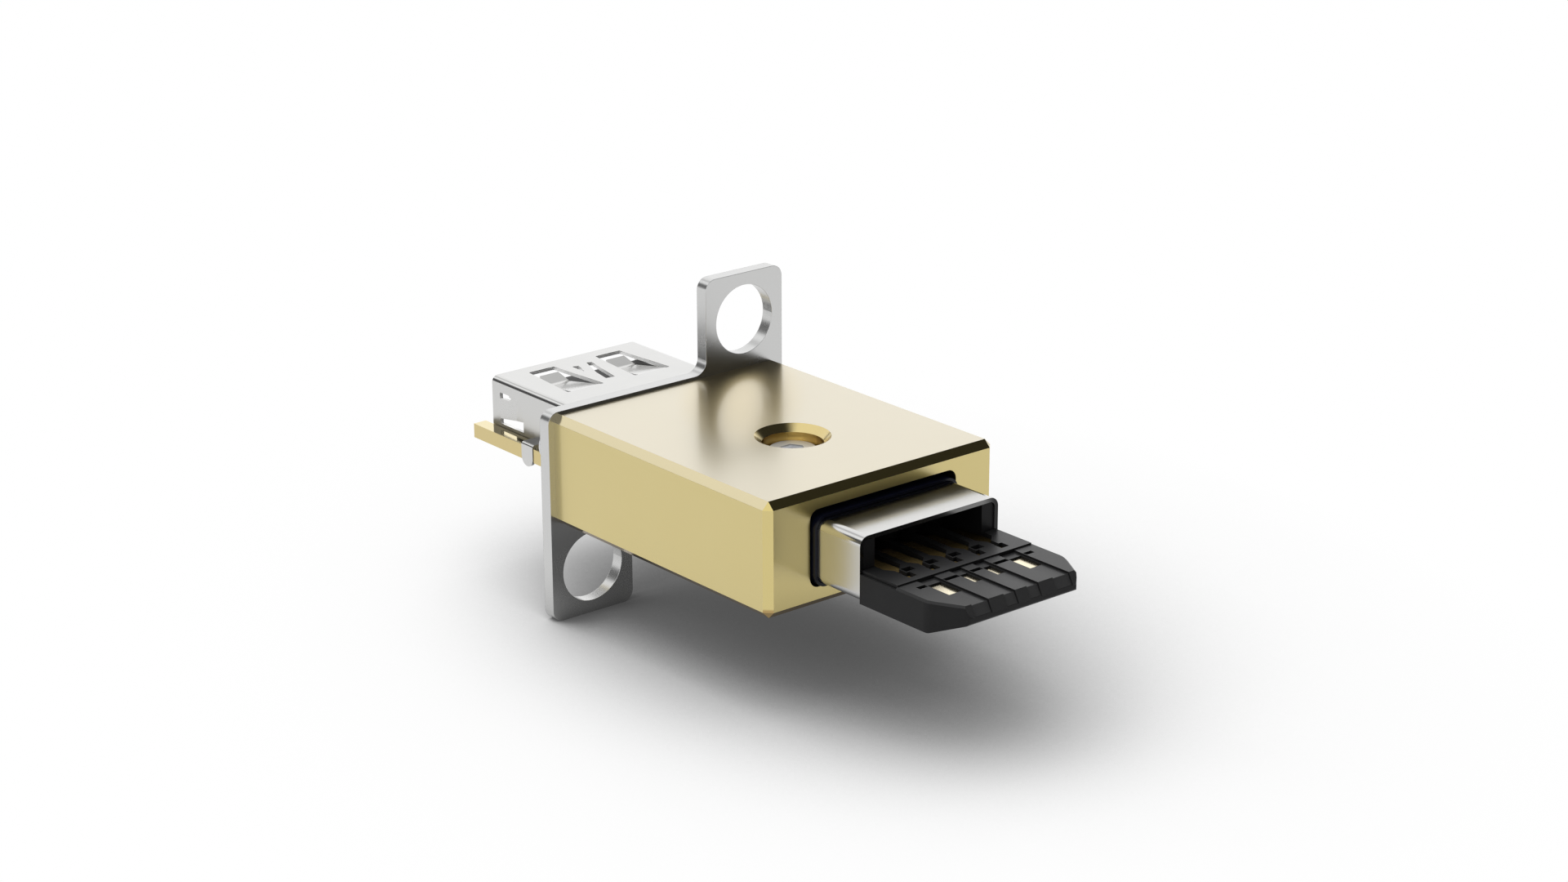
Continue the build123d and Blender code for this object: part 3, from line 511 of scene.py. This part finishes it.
# Floor: a wide level sheet, white to the camera away from the object's soft shadow, which is painted on it as
# a glow
floorLook = {"reach": 1.6, "cells": 8, "drop": cadBox[0][2], "white": 0.90, "rough": 0.9, "gain": 1.0,
             "lean": (-0.3, 0.2, 1.0), "far": 0.04, "samples": 32,
             "stops": ((0.0, 0.03), (0.27, 0.088), (0.40, 0.132), (0.50, 0.24), (0.575, 0.325),
                       (0.65, 0.46), (0.75, 0.63), (0.875, 0.875), (0.94, 0.975), (1.0, 1.0))}


def makeFloorMesh():
    # a level grid: both directions run evenly from minus the reach to the reach
    count = floorLook["cells"] + 1
    line = np.linspace(-floorLook["reach"], floorLook["reach"], count)
    across, along = np.meshgrid(line, line, indexing="ij")
    points = np.stack([across, along, np.full_like(across, floorLook["drop"])], -1).reshape(-1, 3)
    index = np.arange(count * count).reshape(count, count)
    faces = np.stack([index[:-1, :-1], index[1:, :-1], index[1:, 1:], index[:-1, 1:]], -1)
    mesh = bpy.data.meshes.new("floor")
    mesh.from_pydata(points.tolist(), [], faces.reshape(-1, 4).tolist())
    mesh.update()
    return mesh


def makeFloorFinish():
    # camera, glossy and clear rays see a painted shadow: how open the sky is over each place, as a glowing
    # grey from the stops
    finish = Finish("paleFloor", (floorLook["white"],) * 3, 0.0, floorLook["rough"],
                    Specular_IOR_Level=0.0)
    maker = finish.maker
    # a linked normal tilts the part of the sky that the shadow is worked out from
    lean = maker.node("VectorMath", {"operation": "NORMALIZE"}, i0=floorLook["lean"])
    sky = maker.node("AmbientOcclusion", {"samples": floorLook["samples"]}, out="AO",
                     Distance=floorLook["far"], Normal=lean)
    stops = [(place, (level,) * 3) for place, level in floorLook["stops"]]
    shade = maker.node("ValToRGB", {"stops": stops}, i0=sky)
    camera, glossy, clear = (maker.node("LightPath", out=f"Is {ray} Ray")
                             for ray in ("Camera", "Glossy", "Transmission"))
    glow = maker.node("Emission", Color=shade, Strength=floorLook["gain"])
    mixed = maker.node("MixShader", i0=camera.most(glossy).most(clear), i1=finish.surface, i2=glow)
    maker.plug(finish.output.inputs["Surface"], mixed)
    return finish


def makeFloor():
    floor = addObject("floor", makeFloorMesh())
    floor.data.materials.append(makeFloorFinish().material)


makeFloor()
print("floor laid")

# World: white to the camera, and to glossy rays a bright studio with soft dark flags
studio = {"bright": 1.22, "fill": 0.55, "flags": (
    {"towards": (0.60, -0.62, 0.50), "limits": (0.32, 0.72), "level": 0.032},  # wide, front right
    {"towards": (-0.60, 0.72, 0.34), "limits": (0.94, 0.985), "level": 0.08},  # low, behind on the left
    {"towards": (0.0, 0.727, 0.686), "limits": (0.985, 0.996), "level": 0.70},  # small, high behind
)}


def makeWorld():
    world = bpy.data.worlds.new("studio")
    world.use_nodes = True
    bpy.context.scene.world = world
    world.node_tree.nodes.clear()
    maker = Sock(world.node_tree)
    ray = maker.node("TexCoord", out="Generated")
    shine = studio["bright"]
    for flag in studio["flags"]:
        towards = Vector(flag["towards"]).normalized()
        near = maker.node("VectorMath", {"operation": "DOT_PRODUCT"}, out="Value", i0=ray, i1=towards)
        fall = 1.0 - flag["level"] / studio["bright"]
        shine = shine * (1.0 - near.ramp(*flag["limits"]) * fall)
    camera, glossy = (maker.node("LightPath", out=f"Is {kind} Ray") for kind in ("Camera", "Glossy"))
    strength = camera + (1.0 - camera) * (glossy * shine + (1.0 - glossy) * studio["fill"])
    shade = maker.node("Background", Color=(1.0, 1.0, 1.0, 1.0), Strength=strength)
    maker.make("OutputWorld", Surface=shade)


makeWorld()

# Lamp: one large soft key from above on the left, which the metal doesn't mirror
lamp = {"place": (-0.12, 0.10, 0.36), "size": 0.30, "power": 2.2}


def makeLamp():
    data = bpy.data.lights.new("key", "AREA")
    data.energy = lamp["power"]
    data.size = lamp["size"]
    made = addObject("key", data)
    made.location = lamp["place"]
    made.rotation_euler = Vector(lamp["place"]).to_track_quat("Z", "Y").to_euler()
    made.visible_glossy = False


makeLamp()
print("light set")

# Camera: the photograph's view, a long lens from the front left, a little above
lens = {"place": (-130.402, -170.242, 74.967), "azimuth": -39.63, "elevation": 19.28, "roll": -0.17,
        "focal": 73.56, "sensor": 36.0, "near": 0.005, "far": 20.0}


def makeCamera():
    azimuth, elevation, roll = (math.radians(lens[key]) for key in ("azimuth", "elevation", "roll"))
    back = Vector((math.cos(elevation) * math.sin(azimuth), -math.cos(elevation) * math.cos(azimuth),
                   math.sin(elevation)))
    right = (-back).cross(Vector((0.0, 0.0, 1.0))).normalized()
    up = right.cross(-back)
    turnedRight = math.cos(roll) * right + math.sin(roll) * up
    turnedUp = math.cos(roll) * up - math.sin(roll) * right
    data = bpy.data.cameras.new("camera")
    data.lens = lens["focal"]
    data.sensor_width = lens["sensor"]
    data.clip_start = lens["near"]
    data.clip_end = lens["far"]
    camera = addObject("camera", data)
    turn = Matrix((turnedRight, turnedUp, back)).transposed().to_4x4()
    camera.matrix_world = Matrix.Translation(Vector(lens["place"]) * mm) @ turn
    bpy.context.scene.camera = camera


makeCamera()
bpy.context.scene.view_settings.view_transform = "Standard"
print("camera set")
